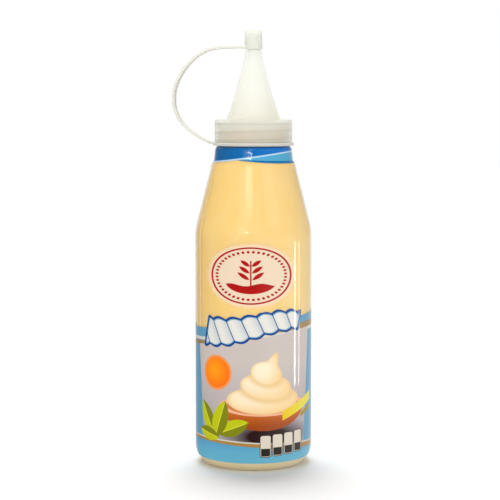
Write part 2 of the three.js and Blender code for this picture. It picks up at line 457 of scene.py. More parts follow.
def clear_finish(name, tint, front, roughness, milk):
    """Clear plastic. Front is the share that a bare face mirrors when it is seen square on."""
    material, tree = new_material(name)
    (_, _, up), place = in_millimetres(tree)
    waves = waved(tree, 0.3, 0.2, noise(tree, place, 0.12, 2.0, (1, 1, 0.3)))
    through = layer(tree, "Transparent", {"Color": tint})
    mirror = layer(tree, "Glossy", {"Color": WHITE, "Roughness": roughness, "Normal": waves})
    above = (up - (FILM_TOP - FILM_OVERLAP)).held()
    bare = above.upper((up * -1.0 + (FILM_HEM + FILM_OVERLAP)).held())
    skin = mixed(tree, edge_shine(tree, front) * bare, through, mirror)
    cloudy = layer(tree, "Principled", {"Base Color": milk, "Roughness": 0.3})
    haze = mixed(tree, 0.5, cloudy, layer(tree, "Translucent", {"Color": milk}))
    thick = ((up * -1.0 + MILKY_TOP) / MILKY_FADE).held()
    end_material(tree, mixed(tree, thick * MILKY_SHARE, skin, haze))
    return material


# %% Milky plastic: lets light through, and shows dimly what is behind
GLOW_SHARE = 0.5
CLOUD_SHADE = 0.97
MILKY_TINT = (0.97, 0.97, 0.95, 1)


def milky_finish(name, colour, passes, zones):
    """Milky plastic. Passes is the share of light that goes straight through a face.

    A zone lays another colour, share that passes and share that glows where a sum on the distance from
    the axis, the height and the turn round the axis is 1.
    """
    material, tree = new_material(name)
    (x, y, up), place = in_millimetres(tree)
    out, turn = (x * x + y * y).root(), turn_about_axis(x, y)
    clouds = noise(tree, place, 0.22, 3.0)
    tone = blended(tree, clouds, colour, tuple(CLOUD_SHADE * c for c in colour[:3]) + (1,))
    glows = GLOW_SHARE
    for share_at, zone_colour, zone_passes, zone_glows in zones:
        share = share_at(out, up, turn)
        tone = blended(tree, share, tone, zone_colour)
        passes = share * (zone_passes - passes) + passes
        glows = share * (zone_glows - glows) + glows
    body = layer(tree, "Principled", {"Base Color": tone, "Roughness": 0.32})
    lit = mixed(tree, glows, body, layer(tree, "Translucent", {"Color": tone}))
    end_material(tree, mixed(tree, passes, lit, layer(tree, "Transparent", {"Color": MILKY_TINT})))
    return material


# %% [markdown]
# ## The print on the film
#
# The print could be an image, but fields of flat colour with clean edges suit a set of small sums
# better, and they stay sharp at any size. Every shape is a distance in millimetres, below zero inside,
# on the unrolled film: across is the way round it from the front, and up is the height. A distance
# becomes a mask with a crisp edge, and each mask lays one colour over what is below it.


# %% Shapes on the unrolled film
PRINT_EDGE = 0.16


class Sheet:
    """The unrolled film: across and up are places on it, and paint lays a colour over a mask."""

    def __init__(self, tree):
        self.tree = tree
        (x, y, z), self.place = in_millimetres(tree)
        self.turn = turn_about_axis(x, y)
        self.across = self.turn * FILM_RADIUS
        self.up = z
        self.colour = None

    def disc(self, across, up, radius):
        a, b = self.across - across, self.up - up
        return (a * a + b * b).root() - radius

    def oval(self, across, up, half_width, half_height, degrees=0):
        along, beside = self.turned_about(across, up, degrees)
        a, b = along / half_width, beside / half_height
        return ((a * a + b * b).root() - 1.0) * min(half_width, half_height)

    def panel(self, across, up, half_width, half_height, corner, tilt=0.0):
        a = (self.across - across).size() - (half_width - corner)
        b = (self.up - up - (self.across - across) * tilt).size() - (half_height - corner)
        a, b = a.upper(0.0), b.upper(0.0)
        return (a * a + b * b).root() - corner

    def turned_about(self, across, up, degrees):
        """Places along and beside a line through a point at an angle."""
        c, s = math.cos(math.radians(degrees)), math.sin(math.radians(degrees))
        a, b = self.across - across, self.up - up
        return a * c + b * s, b * c - a * s

    def leaf(self, across, up, degrees, half_length, half_width):
        along, beside = self.turned_about(across, up, degrees)
        bow = (half_length ** 2 + half_width ** 2) / (2 * half_width)
        lift = beside.size() + (bow - half_width)
        return (along * along + lift * lift).root() - bow

    def wave(self, level, rise, swell=0.0):
        """A height that rises to the right of the front and joins up at the back."""
        height = self.turn.sine() * rise + level
        return height + self.turn.cosine() * swell if swell else height

    def mask(self, distance, edge=PRINT_EDGE):
        return distance.math("MULTIPLY_ADD", distance, -1 / edge, 0.5, clamp=True)

    def fade(self, value, start, end):
        """A share from 0 at start to 1 at end."""
        scale = 1 / (end - start)
        return value.math("MULTIPLY_ADD", value, scale, -start * scale, clamp=True)

    def paint(self, mask, colour):
        self.colour = blended(self.tree, mask, self.colour, printed(*colour))

    def ink(self, distance, colour, within=None, edge=PRINT_EDGE):
        """Lays a colour inside a shape, and only within another mask where one is given."""
        mask = self.mask(distance, edge)
        self.paint(mask if within is None else mask * within, colour)

    def paint_shaded(self, mask, share, first, second):
        shade = blended(self.tree, share, printed(*first), printed(*second))
        self.colour = blended(self.tree, mask, self.colour, shade)


# %% Inks, named as the lit and glossy film shows them
FILM_GLOSS = 0.035
STUDIO_LIGHT = 1.15


def printed(red, green, blue):
    """The ink's own light value for a colour that is seen through the film's gloss."""
    lit = [max(0.003, (value - FILM_GLOSS) / STUDIO_LIGHT) for value in seen(red, green, blue)[:3]]
    return (*lit, 1.0)


# %% Blue, white and gold bands round the body, the gold with painted shade at its sides. A wave is named by its level and its rise
SKY_BLUE = (101, 153, 183)
MID_BLUE = (50, 118, 166)
PAPER_WHITE = (208, 204, 192)
GOLD = (172, 148, 108)
GOLD_PAINTED_SIDE_SHADE = (140, 114, 70)
BANDS_TOP = (59.05, 2.97)
GOLD_TOP = (55.1, 4.4)
GOLD_BOTTOM = (53.1, 3.8)
WHITE_LINE = (54.0, 2.15)
WHITE_HALF_WIDTH = 0.62


def paint_bands(sheet):
    sheet.colour = printed(*SKY_BLUE)
    sheet.paint(sheet.fade(sheet.up, 12.0, 4.0), (120, 188, 212))
    gold = (sheet.up - sheet.wave(*GOLD_TOP)).upper(sheet.wave(*GOLD_BOTTOM) - sheet.up)
    white = (sheet.up - sheet.wave(*WHITE_LINE)).size() - WHITE_HALF_WIDTH
    # Painted shade: the gold darkens from the front towards the sides, as light falls off round the
    # body.
    sheet.paint_shaded(sheet.mask(gold), sheet.fade(sheet.turn.cosine(), 0.2, 0.9), GOLD_PAINTED_SIDE_SHADE, GOLD)
    sheet.ink(white, PAPER_WHITE)
    return sheet.up - sheet.wave(*BANDS_TOP)


# %% The picture panel: a plain bowl of cream, an orange round and a few leaves
PANEL_LEFT, PANEL_LEFT_LEAN = -22.4, -0.09
PANEL_RIGHT, PANEL_RIGHT_LEAN = 23.0, 0.078
PANEL_TOP = (53.2, 3.8)


def paint_panel(sheet):
    left = sheet.up * PANEL_LEFT_LEAN + PANEL_LEFT
    right = sheet.up * PANEL_RIGHT_LEAN + PANEL_RIGHT
    top = sheet.wave(*PANEL_TOP)
    edge = (left - sheet.across).upper(sheet.across - right).upper(sheet.up - top)
    sheet.paint_shaded(sheet.mask(edge), sheet.fade(sheet.up, 44.0, 16.0),
                       (196, 186, 180), (170, 162, 166))
    shadow = sheet.oval(6.0, 14.5, 17.5, 6.5)
    sheet.ink(edge, (66, 49, 45), sheet.fade(shadow, 1.5, -3.5))
    return edge


BOWL_ACROSS, BOWL_RIM, BOWL_HALF_WIDTH = 4.5, 26.6, 19.0


def paint_bowl(sheet, edge):
    inside = sheet.mask(edge)
    rim = sheet.oval(BOWL_ACROSS, BOWL_RIM, BOWL_HALF_WIDTH, 4.0)
    bowl = sheet.oval(BOWL_ACROSS, BOWL_RIM + 0.8, BOWL_HALF_WIDTH, 10.6).upper(sheet.up - BOWL_RIM)
    sheet.paint_shaded(sheet.mask(bowl) * inside, sheet.fade(sheet.up, 26.0, 18.5),
                       (206, 118, 66), (158, 84, 48))
    sheet.ink(rim, (236, 178, 146), inside)
    sheet.ink(rim + 0.7, (206, 128, 84), inside)
    foot = sheet.oval(4.4, 29.0, 15.2, 5.6)
    middle = sheet.oval(5.4, 34.2, 10.6, 5.4, -8)
    top = sheet.oval(5.2, 39.6, 6.4, 4.6, -14)
    peak = sheet.leaf(7.6, 43.6, 66, 4.6, 1.9)
    top = top.math("SMOOTH_MIN", top, peak, 2.5)
    mound = foot.lower(middle).lower(top)
    cream = sheet.mask(mound, 0.3) * inside
    sheet.paint(cream, (240, 214, 178))
    for tier, glow in ((foot, sheet.oval(0.0, 30.6, 15.0, 5.0)),
                       (middle, sheet.oval(1.6, 36.0, 10.0, 5.0, -8)),
                       (top, sheet.oval(3.4, 41.4, 6.0, 6.0, 40))):
        sheet.paint(sheet.fade(tier, 2.2, -0.2) * cream, (226, 190, 136))
        sheet.paint_shaded(sheet.mask(tier + 0.2, 1.0) * cream, sheet.fade(glow, 1.6, -3.6),
                           (236, 204, 152), (244, 228, 198))


def paint_orange_round(sheet, edge):
    inside = sheet.mask(edge)
    rind = sheet.disc(-15.8, 39.4, 7.0)
    heart = sheet.disc(-16.8, 40.2, 3.0)
    sheet.ink(rind, (232, 152, 96), inside)
    sheet.paint_shaded(sheet.mask(rind + 0.9, 0.5) * inside, sheet.fade(heart, 4.0, -3.0),
                       (245, 117, 12), (255, 160, 8))


def paint_leaves(sheet):
    leaves = [(-8.4, 17.6, 22, 7.0, 3.2), (-20.6, 21.0, 118, 7.4, 3.2), (-14.2, 20.6, 72, 8.2, 3.6),
              (-20.2, 14.6, 168, 6.0, 2.6)]
    for across, up, degrees, half_length, half_width in leaves:
        leaf = sheet.leaf(across, up, degrees, half_length, half_width)
        _, beside = sheet.turned_about(across, up, degrees)
        sheet.paint_shaded(sheet.mask(leaf), sheet.fade(beside, -0.25, 0.25),
                           (130, 134, 6), (186, 192, 10))
        sheet.ink(beside.size() - 0.16, (214, 214, 80), sheet.mask(leaf + 0.8))


# %% The lower sweep, the yellow ribbon and four plain tabs
def paint_lower_sweep(sheet):
    top = sheet.wave(11.5, -1.3, 0.7)
    below = sheet.up - top
    sheet.paint_shaded(sheet.mask(below), sheet.fade(sheet.up, 11.0, 5.0),
                       (98, 158, 190), (112, 181, 206))
    thickness = sheet.turn.sine() * 0.45 + 1.9
    sheet.ink(below.size() - thickness, (168, 132, 82), sheet.mask(below))
    sheet.ink(below.size() - 0.5, PAPER_WHITE, sheet.mask(below))


def paint_yellow_ribbon(sheet):
    band = sheet.panel(20.8, 25.6, 8.9, 1.9, 0.3, 0.36)
    under = sheet.panel(25.6, 23.2, 4.0, 0.9, 0.2, 0.36)
    sheet.ink(under, (166, 142, 52))
    sheet.paint_shaded(sheet.mask(band), sheet.fade(sheet.across, 12.0, 22.0),
                       (226, 190, 56), (224, 212, 78))


def paint_tabs(sheet):
    for i in range(4):
        across, up = 4.8 + 5.0 * i, 10.6 + 0.35 * i
        outline = sheet.panel(across, up, 2.35, 4.5, 1.1)
        sheet.ink(outline, (52, 48, 44))
        sheet.ink(outline + 0.28, (216, 206, 190))
        dark = (outline + 0.5).upper(sheet.up - (up - 0.9))
        sheet.ink(dark, (62, 58, 52))


# %% A pleated ribbon across the middle
def paint_pleated_ribbon(sheet):
    along = sheet.fade(sheet.across, -21.4, 20.9)
    centre = along * 4.2 + 55.8 + (along * (2 * math.pi)).sine() * -1.0
    pleat = (along * 7.0 + (sheet.up - centre) * 0.07).fraction()
    scallop = (pleat * math.pi).sine() * 1.1
    half = along * -2.3 + 5.1 + scallop
    body = (sheet.up - centre).size() - half
    ends = (sheet.across + 0.25 - (sheet.up - centre) * 0.22).size() - 21.0
    ribbon = body.math("SMOOTH_MAX", body, ends, 1.6)
    sheet.ink(ribbon - 0.35, (34, 84, 140))
    sheet.ink(ribbon + 0.55, (134, 168, 190))
    sheet.paint_shaded(sheet.mask(ribbon + 0.95), (pleat - 0.35).size().power(1.6) * 1.6,
                       (222, 220, 212), (178, 188, 196))
    fold = (pleat - 0.5).size() * -6.0 + 3.0
    sheet.ink(fold - 0.2, (40, 88, 142), sheet.mask(ribbon + 0.4))
    return ribbon - 0.35


# %% A plain oval with a ring of beads and a sprig, and a soft halo round it
HALO = 1.6
MEDALLION_ACROSS, MEDALLION_UP = -1.1, 78.1
MEDALLION_HALF_WIDTH, MEDALLION_HALF_HEIGHT = 17.5, 11.4
BEADS = 44
BEAD_RING = 0.82
STEM_UP, STEM_HALF_LENGTH, STEM_HALF_WIDTH = 79.0, 5.0, 0.3


def paint_medallion(sheet):
    red = (172, 40, 22)
    from_middle, over_middle = sheet.across - MEDALLION_ACROSS, sheet.up - MEDALLION_UP
    oval = sheet.oval(MEDALLION_ACROSS, MEDALLION_UP, MEDALLION_HALF_WIDTH, MEDALLION_HALF_HEIGHT)
    sheet.ink(oval - 2 * HALO, (240, 212, 180))
    sheet.ink(oval, (228, 207, 182))
    sheet.ink((oval + 0.45).size() - 0.32, red)
    a, b = from_middle / MEDALLION_HALF_WIDTH, over_middle / MEDALLION_HALF_HEIGHT
    bead_turn = ((a.angle_from(b) * (BEADS / (2 * math.pi))).fraction() - 0.5) * 1.7
    bead_out = ((a * a + b * b).root() - BEAD_RING) * 11.0
    beads = (bead_turn * bead_turn + bead_out * bead_out).root() - 0.5
    sheet.ink(beads, red, edge=0.2)
    hill_top = (sheet.across * 0.5).sine() * -0.5
    hill = sheet.oval(MEDALLION_ACROSS, 76.2, 10.6, 5.2).upper(sheet.up - 74.6 + hill_top)
    sheet.ink(hill, red)
    stem_end = (sheet.up - STEM_UP).size() - STEM_HALF_LENGTH
    sheet.ink((from_middle.size() - STEM_HALF_WIDTH).upper(stem_end), red)
    for level in range(3):
        for side in (-1, 1):
            leaf = sheet.leaf(MEDALLION_ACROSS + side * (2.9 - 0.35 * level), 78.0 + 2.5 * level,
                              90 - side * 58, 2.8 - 0.3 * level, 0.8)
            sheet.ink(leaf, red)
    return oval - HALO / 2


# %% The blue band at the neck, with painted shade darkening its left, and a ruled panel at the back
NECK_BLUE_PAINTED_SHADE, NECK_BLUE_PAINTED_LIGHT = (10, 104, 152), (4, 122, 202)
NECK_BAND_START = 115.0
NECK_SWEEP = (124.06, 2.15)
NECK_STRIP = (122.83, -0.45)
BACK_UP, BACK_HALF_WIDTH, BACK_HALF_HEIGHT = 33.0, 31.0, 17.0
RULE_GAP = 2.6


def paint_neck_band(sheet):
    from_start = NECK_BAND_START - sheet.up
    high = sheet.mask(from_start)
    sweep = sheet.wave(*NECK_SWEEP)
    over = sheet.up - sweep
    # Painted shade and light: the band's blue darkens towards the left and brightens towards the
    # right.
    sheet.paint_shaded(high, sheet.fade(sheet.turn, -0.9, 1.1), NECK_BLUE_PAINTED_SHADE, NECK_BLUE_PAINTED_LIGHT)
    sheet.ink(over, (92, 166, 200), high)
    strip = sheet.up - sheet.wave(*NECK_STRIP)
    sheet.ink(strip.upper(over), MID_BLUE, high)
    sheet.ink(over.size() - 0.28, (186, 212, 228), high, 0.3)
    bottom = ((1.0 - sheet.turn.sine()).power(2.0) * 0.69 + 121.45).lower(sweep - 0.31)
    return (bottom - sheet.up).upper(from_start)


def paint_back_panel(sheet):
    behind = sheet.across.size() * -1.0 + math.pi * FILM_RADIUS
    panel = (behind - BACK_HALF_WIDTH).upper((sheet.up - BACK_UP).size() - BACK_HALF_HEIGHT)
    sheet.ink(panel, (220, 214, 202))
    rules = ((sheet.up / RULE_GAP).fraction() - 0.5).size() * RULE_GAP - 0.14
    sheet.ink(rules, (96, 128, 150), sheet.mask(panel + 2.0))
    sheet.ink((panel + 0.9).size() - 0.18, (40, 92, 142))


# %% Lay the whole print on clear film, with two thin lines of painted reflection at the left, where the clear wall's edge shines
FILM_GLOSSY = 0.07
PAINTED_LINES_TURN = -1.2
PAINTED_LINES_HALF_ANGLE = 0.066
PAINTED_LINE_WIDTH = 0.8
PAINTED_LINES_SHARE = 0.35
PAINTED_LINES_COLOUR = seen(250, 232, 184)
HAZE_AND_BENT_FILL_SHARE = 0.12
HAZE_AND_BENT_FILL_COLOUR = seen(240, 212, 158)


def film_finish():
    """The film. Only its outer face mirrors, and neither ink nor haze holds light off the filling."""
    material, tree = new_material("printed_film")
    sheet = Sheet(tree)
    below_bands = paint_bands(sheet)
    paint_back_panel(sheet)
    edge = paint_panel(sheet)
    paint_bowl(sheet, edge)
    paint_orange_round(sheet, edge)
    paint_lower_sweep(sheet)
    paint_leaves(sheet)
    paint_yellow_ribbon(sheet)
    paint_tabs(sheet)
    ribbon = paint_pleated_ribbon(sheet)
    medallion = paint_medallion(sheet)
    neck = paint_neck_band(sheet)
    inked = sheet.mask(below_bands.lower(ribbon).lower(neck)).upper(sheet.mask(medallion, HALO))
    waves = waved(tree, 0.25, 0.2, noise(tree, sheet.place, 0.1, 2.0, (1, 1, 0.25)))
    ink = layer(tree, "Principled", {"Base Color": sheet.colour, "Roughness": FILM_GLOSSY,
                                     "Specular IOR Level": 0.4, "Normal": waves})
    through = layer(tree, "Transparent", {"Color": (0.995, 0.995, 0.99, 1)})
    mirror = layer(tree, "Glossy", {"Color": WHITE, "Roughness": FILM_GLOSSY, "Normal": waves})
    own_map = step(tree, "ShaderNodeUVMap", uv_map="OFBake")
    up_the_map = Field(step(tree, "ShaderNodeSeparateXYZ", {0: own_map}).outputs["Y"])
    outer = up_the_map.math("LESS_THAN", up_the_map, OUTER_SHARE)
    clear = mixed(tree, edge_shine(tree, 0.03) * outer, through, mirror)
    lit = 1.0 - Field(step(tree, "ShaderNodeLightPath").outputs["Is Shadow Ray"])
    # Partly haze and partly painted colour: a warm tint that stands in for the filling seen bent
    # through the wall, strongest at the edges.
    haze = layer(tree, "Principled", {"Base Color": HAZE_AND_BENT_FILL_COLOUR, "Roughness": 0.4})
    clear = mixed(tree, lit * HAZE_AND_BENT_FILL_SHARE, clear, haze)
    # Painted reflection: two thin pale lines at the left stand in for the shine that the clear wall's
    # edge shows.
    painted_lines = ((sheet.turn - PAINTED_LINES_TURN).size() - PAINTED_LINES_HALF_ANGLE).size() * FILM_RADIUS - PAINTED_LINE_WIDTH / 2
    painted_shine = layer(tree, "Principled", {"Base Color": PAINTED_LINES_COLOUR, "Roughness": 0.2})
    clear = mixed(tree, sheet.mask(painted_lines, 0.3) * PAINTED_LINES_SHARE, clear, painted_shine)
    end_material(tree, mixed(tree, inked * lit, clear, ink))
    print(f"the print takes {len(tree.nodes)} nodes")
    return material


# %% [markdown]
# ## The bottle and its filling
#
# The bottle is blown from clear plastic: a foot ring round a shallow dome, a soft corner, an upright
# side, a cone shoulder, a small step and a neck with a screw thread. Its wall is the outline moved
# inwards. The mayonnaise reaches just into the wall, so that no air gap shows between them.


# %% Draw the bottle's outline
DOME_STEPS = 12
CROWN = 0.8


def bottle_outline():
    """The outside of the bottle from the middle of its base up to the top of the shoulder."""
    dome = [(FOOT_INNER_RADIUS * i / DOME_STEPS, DOME_HEIGHT * (1 - (i / DOME_STEPS) ** 2))
            for i in range(DOME_STEPS)]
    corner = arc(FOOT_OUTER_RADIUS, CORNER_HEIGHT, BOTTLE_RADIUS - FOOT_OUTER_RADIUS,
                 CORNER_HEIGHT, -90, 0, 16)
    tilt = math.degrees(math.atan(SHOULDER_SLOPE))
    turn = arc(BOTTLE_RADIUS - SHOULDER_ARC_RADIUS, SHOULDER_START, SHOULDER_ARC_RADIUS,
               SHOULDER_ARC_RADIUS, 0, tilt, 10)
    turn_radius, turn_end = turn[-1]
    step_radius = turn_radius - SHOULDER_SLOPE * (STEP_BOTTOM - turn_end)
    top = softened([(step_radius + SHOULDER_SLOPE * 5, STEP_BOTTOM - 5, 0),
                    (step_radius, STEP_BOTTOM, 0.6), (BAND_BOTTOM_RADIUS, STEP_TOP, 0.6),
                    (BAND_TOP_RADIUS, BAND_TOP, 0.5), (SHOULDER_TOP_RADIUS, SHOULDER_TOP, 0)])
    return [*dome, (FOOT_INNER_RADIUS, 0), *corner, *turn, *top]


# %% Make the mayonnaise
def make_mayonnaise():
    outline = inset(bottle_outline(), BOTTLE_WALL - FILL_REACH)[:-1]
    neck = NECK_INNER_RADIUS + FILL_REACH
    crown = arc(0, FILL_LEVEL - CROWN, neck, CROWN, 0, 90, 8)
    crown[-1] = (0, FILL_LEVEL)
    outline = [*outline, (neck, SHOULDER_TOP - BOTTLE_WALL), *crown]
    return turned("mayonnaise_filling", divided(outline, FILL_FACE), BODY_SIDES)


# %% Make the thread, which fades into the wall at both ends
THREAD_PITCH = 3.2
THREAD_FADES = 10.0
THREAD_LEAST = 0.05


def thread_tree():
    tree, sizes = new_tree("Screw thread", Radius=NECK_RADIUS, Start=131.4, Pitch=THREAD_PITCH,
                           Turns=1.3, Depth=0.95, Height=1.6)
    path = step(tree, "GeometryNodeCurveSpiral",
                {"Resolution": 72, "Rotations": sizes["Turns"], "Start Radius": sizes["Radius"],
                 "End Radius": sizes["Radius"],
                 "Height": Field(sizes["Pitch"]) * Field(sizes["Turns"])})
    place = step(tree, "ShaderNodeCombineXYZ", {"X": AXIS / MM, "Z": sizes["Start"]})
    moved = step(tree, "GeometryNodeTransform",
                 {"Geometry": path, "Translation": place})
    along = Field(step(tree, "GeometryNodeSplineParameter").outputs["Factor"])
    fade = (along * THREAD_FADES).lower(along * -THREAD_FADES + THREAD_FADES)
    fade = fade.lower(1.0).upper(THREAD_LEAST)
    section = step(tree, "GeometryNodeCurvePrimitiveQuadrilateral",
                   {"Width": sizes["Height"], "Height": Field(sizes["Depth"]) * 2.0})
    soft = step(tree, "GeometryNodeFilletCurve",
                {"Curve": section, "Radius": 0.5, "Count": 4}, mode="POLY")
    bar = step(tree, "GeometryNodeCurveToMesh",
               {"Curve": moved, "Profile Curve": soft, "Scale": fade,
                "Fill Caps": True})
    metres = step(tree, "GeometryNodeTransform",
                  {"Geometry": bar, "Scale": (MM, MM, MM)})
    end_tree(tree, metres, sizes["Material"])
    return tree


def empty_host(name):
    """An empty mesh object that a tree with no input geometry can run on."""
    return placed(name, bpy.data.meshes.new(name))


# %% Make the bottle with its thread
def make_bottle(material):
    outside = bottle_outline()
    inside = inset(outside, BOTTLE_WALL)
    rim = softened([(NECK_RADIUS, MOUTH - 3, 0), (NECK_RADIUS, MOUTH, 0.4),
                    (NECK_INNER_RADIUS, MOUTH, 0.4), (NECK_INNER_RADIUS, MOUTH - 3, 0)])
    outline = [*outside, (NECK_RADIUS, SHOULDER_TOP), *rim,
               (NECK_INNER_RADIUS, SHOULDER_TOP - BOTTLE_WALL), *reversed(inside[:-1])]
    shell = turned("clear_bottle_shell", outline, BODY_SIDES)
    thread = grown("neck_thread", thread_tree(), empty_host("thread_host"), material)
    return fused("clear_bottle", shell, thread)


# %% [markdown]
# ## The shrink film
#
# The film is a sleeve that hot air has pulled tight. It follows the bottle from just above the foot to
# the top of the shoulder, and small flutes stay where it had to shrink most, at the neck and the hem.
# A tree moves the sleeve's points in and out by a stretched noise that grows towards both ends. The
# sleeve gets its own unwrap, so that its print keeps its full sharpness when it is baked.


# %% Wrinkle the film where it shrank most
FLUTES = 6.0
FLUTE_STRETCH = 0.16
DIP_BELOW = 0.72
HEM_SHARE = 0.6


def wrinkle_tree():
    tree, sizes = new_tree("Shrink wrinkles", Depth=0.1, Neck=121.0, Hem=6.0, Spread=5.0)
    place = step(tree, "GeometryNodeInputPosition")
    centred = step(tree, "ShaderNodeVectorMath", {0: place, 1: (AXIS, 0, 0)},
                   operation="SUBTRACT")
    split = step(tree, "ShaderNodeSeparateXYZ", {0: centred})
    x, y, z = [Field(out) for out in split.outputs]
    turn = turn_about_axis(x, y)
    height = z * (1 / MM)
    near_neck = ((height - Field(sizes["Neck"])) / Field(sizes["Spread"]) + 1.0).held()
    near_hem = ((height * -1.0 + Field(sizes["Hem"])) / Field(sizes["Spread"]) + HEM_SHARE).held()
    flutes = step(tree, "ShaderNodeCombineXYZ", {"X": turn.sine() * FLUTES,
                                                 "Y": turn.cosine() * FLUTES,
                                                 "Z": height * FLUTE_STRETCH})
    crinkle = step(tree, "ShaderNodeTexNoise",
                   {"Vector": flutes, "Scale": 2.2, "Detail": 2.0})
    dip = (Field(crinkle.outputs["Fac"]) - DIP_BELOW).lower(0.0) * (near_neck + near_hem * HEM_SHARE)
    flat = step(tree, "ShaderNodeCombineXYZ", {"X": x, "Y": y})
    outwards = step(tree, "ShaderNodeVectorMath", {0: flat}, operation="NORMALIZE")
    offset = step(tree, "ShaderNodeVectorMath",
                  {0: outwards, "Scale": dip * Field(sizes["Depth"]) * MM},
                  operation="SCALE")
    moved = step(tree, "GeometryNodeSetPosition",
                 {"Geometry": sizes["Geometry"], "Offset": offset})
    end_tree(tree, moved, sizes["Material"])
    return tree


# %% Lay a tidy unwrap on the sleeve
MAP_GAP = 0.01


def unwrap_sleeve(piece, outline, outer_count, sides):
    """Gives the outer face most of the square and the inner face the rest."""
    uv = piece.data.uv_layers.new(name="OFBake")
    count = len(outline)
    inner_share = 1 - OUTER_SHARE - 2 * MAP_GAP
    for face in piece.data.polygons:
        corners = [(v // sides, v % sides) for v in face.vertices]
        rings, turns = [i for i, _ in corners], [k for _, k in corners]
        wraps = max(turns) == sides - 1 and min(turns) == 0
        closes = max(rings) == count - 1 and min(rings) == 0
        for loop, (i, k) in zip(face.loop_indices, corners):
            across = (k if k or not wraps else sides) / sides
            ring = count if closes and i == 0 else i
            if min(rings) < outer_count - 1 and not closes:
                up = OUTER_SHARE * ring / (outer_count - 1)
            else:
                inwards = (ring - outer_count + 1) / (count - outer_count + 1)
                up = OUTER_SHARE + MAP_GAP + inner_share * inwards
            uv.data[loop].uv = (MAP_GAP + (1 - 2 * MAP_GAP) * across, MAP_GAP / 2 + up * (1 - MAP_GAP))


def make_film(material):
    skin = FILM_RADIUS - BOTTLE_RADIUS
    outer = divided(clip(inset(bottle_outline(), -skin), FILM_HEM, FILM_TOP), FILM_FACE)
    inner = clip(inset(bottle_outline(), FILM_THICKNESS - skin), FILM_HEM, FILM_TOP)
    inner = list(reversed(divided(inner, FILM_FACE)))
    sleeve = turned("film_sleeve", [*outer, *inner], BODY_SIDES)
    unwrap_sleeve(sleeve, [*outer, *inner], len(outer), BODY_SIDES)
    return grown("printed_sleeve", wrinkle_tree(), sleeve, material)


# %% [markdown]
# ## The nozzle
#
# The closure is one moulding in a milky plastic: a skirt with a thread inside, a flat deck, and a thin
# hollow cone that ends in a short tip with a bore. All of it is turned, so one outline gives it, with
# soft edges where a mould would have them. The inner thread is the neck's thread tree again.


# %% Draw and turn the nozzle
SKIRT_WALL = 1.2
DECK_TOP = 138.75
DECK_THICKNESS = 1.3
CONE_BASE = (10.7, DECK_TOP)
CONE_BEND = (4.7, 156.3)
CONE_END = (3.05, 166.3)
CONE_WALL = 1.15
TIP_RADIUS = 2.35
BORE_RADIUS = 1.25
BORE_BOTTOM = 167.8


def make_nozzle(material):
    skirt_inner = SKIRT_RADIUS - SKIRT_WALL
    deck_bottom = DECK_TOP - DECK_THICKNESS
    cone = bend(CONE_BASE, CONE_BEND, CONE_END, 24)
    hollow = inset(cone, CONE_WALL)
    slope = (CONE_BASE[0] - CONE_BEND[0]) / (CONE_BEND[1] - CONE_BASE[1])
    hollow_base = hollow[0][0] + slope * (hollow[0][1] - deck_bottom)
    skirt = softened([(skirt_inner, SKIRT_BOTTOM, 0.3), (SKIRT_RADIUS, SKIRT_BOTTOM, 0.3),
                      (SKIRT_RADIUS, DECK_TOP, 0.7), (CONE_BASE[0] + 0.4, DECK_TOP, 0)])
    tip = softened([(CONE_END[0], CONE_END[1], 0), (TIP_RADIUS, CONE_END[1], 0.2),
                    (TIP_RADIUS - 0.2, TIP_TOP, 0.3), (BORE_RADIUS, TIP_TOP, 0.2),
                    (BORE_RADIUS, BORE_BOTTOM, 0)])
    outline = [*skirt, *cone[1:-1], *tip, *reversed(hollow), (hollow_base, deck_bottom),
               (skirt_inner, deck_bottom)]
    shell = turned("nozzle_shell", outline, NECK_SIDES)
    thread = grown("skirt_thread", thread_tree(), empty_host("skirt_host"), material,
                   Radius=skirt_inner + 0.15, Start=132.8, Depth=0.6, Height=1.1, Turns=1.4)
    return fused("milky_nozzle", shell, thread)


# %% [markdown]
# ## The tether and the tip cap
#
# A flat ring lies round the neck under the skirt. A thin strap leaves it on one side, swings out in a
# wide loop and comes back to the cap at the top. The strap is a section carried along a path, which is
# what Curve to Mesh does best. All three are joined into one skin, because they are one moulding.

# %% Carry the strap's section along its path
STRAP_THICKNESS = 1.05
STRAP_WIDTH = 3.0
STRAP_EDGE = 0.24
STRAP_TWIST = 15
STRAP_ROUTE = [
    (-3.1, 167.4), (-9.4, 167.4), (-13.9, 167.2), (-18.8, 166.05), (-23.7, 162.9), (-28.3, 157.55),
    (-31.3, 151.0), (-31.4, 143.4), (-28.5, 137.3), (-22.6, 132.25), (-19.5, 130.55), (-17.4, 129.6),
    (-15.6, 129.05), (-14.2, 128.9),
]


def smooth_route(points, steps):
    """Points along the smooth curve through a route, closer together where its points are closer."""
    before = [2 * a - b for a, b in zip(points[0], points[1])]
    after = [2 * a - b for a, b in zip(points[-1], points[-2])]
    route = [tuple(before), *points, tuple(after)]
    made = []
    for p0, p1, p2, p3 in zip(route, route[1:], route[2:], route[3:]):
        knots = [0.0]
        for p, q in ((p0, p1), (p1, p2), (p2, p3)):
            knots.append(knots[-1] + math.dist(p, q) ** 0.5)
        for i in range(steps):
            t = knots[1] + (knots[2] - knots[1]) * i / steps
            level = [p0, p1, p2, p3]
            for ends in (((0, 1), (1, 2), (2, 3)), ((0, 2), (1, 3)), ((1, 2),)):
                shares = [(t - knots[m]) / (knots[n] - knots[m]) for m, n in ends]
                level = [tuple(x + (y - x) * share for x, y in zip(a, b))
                         for a, b, share in zip(level, level[1:], shares)]
            made.append(level[0])
    return [*made, points[-1]]


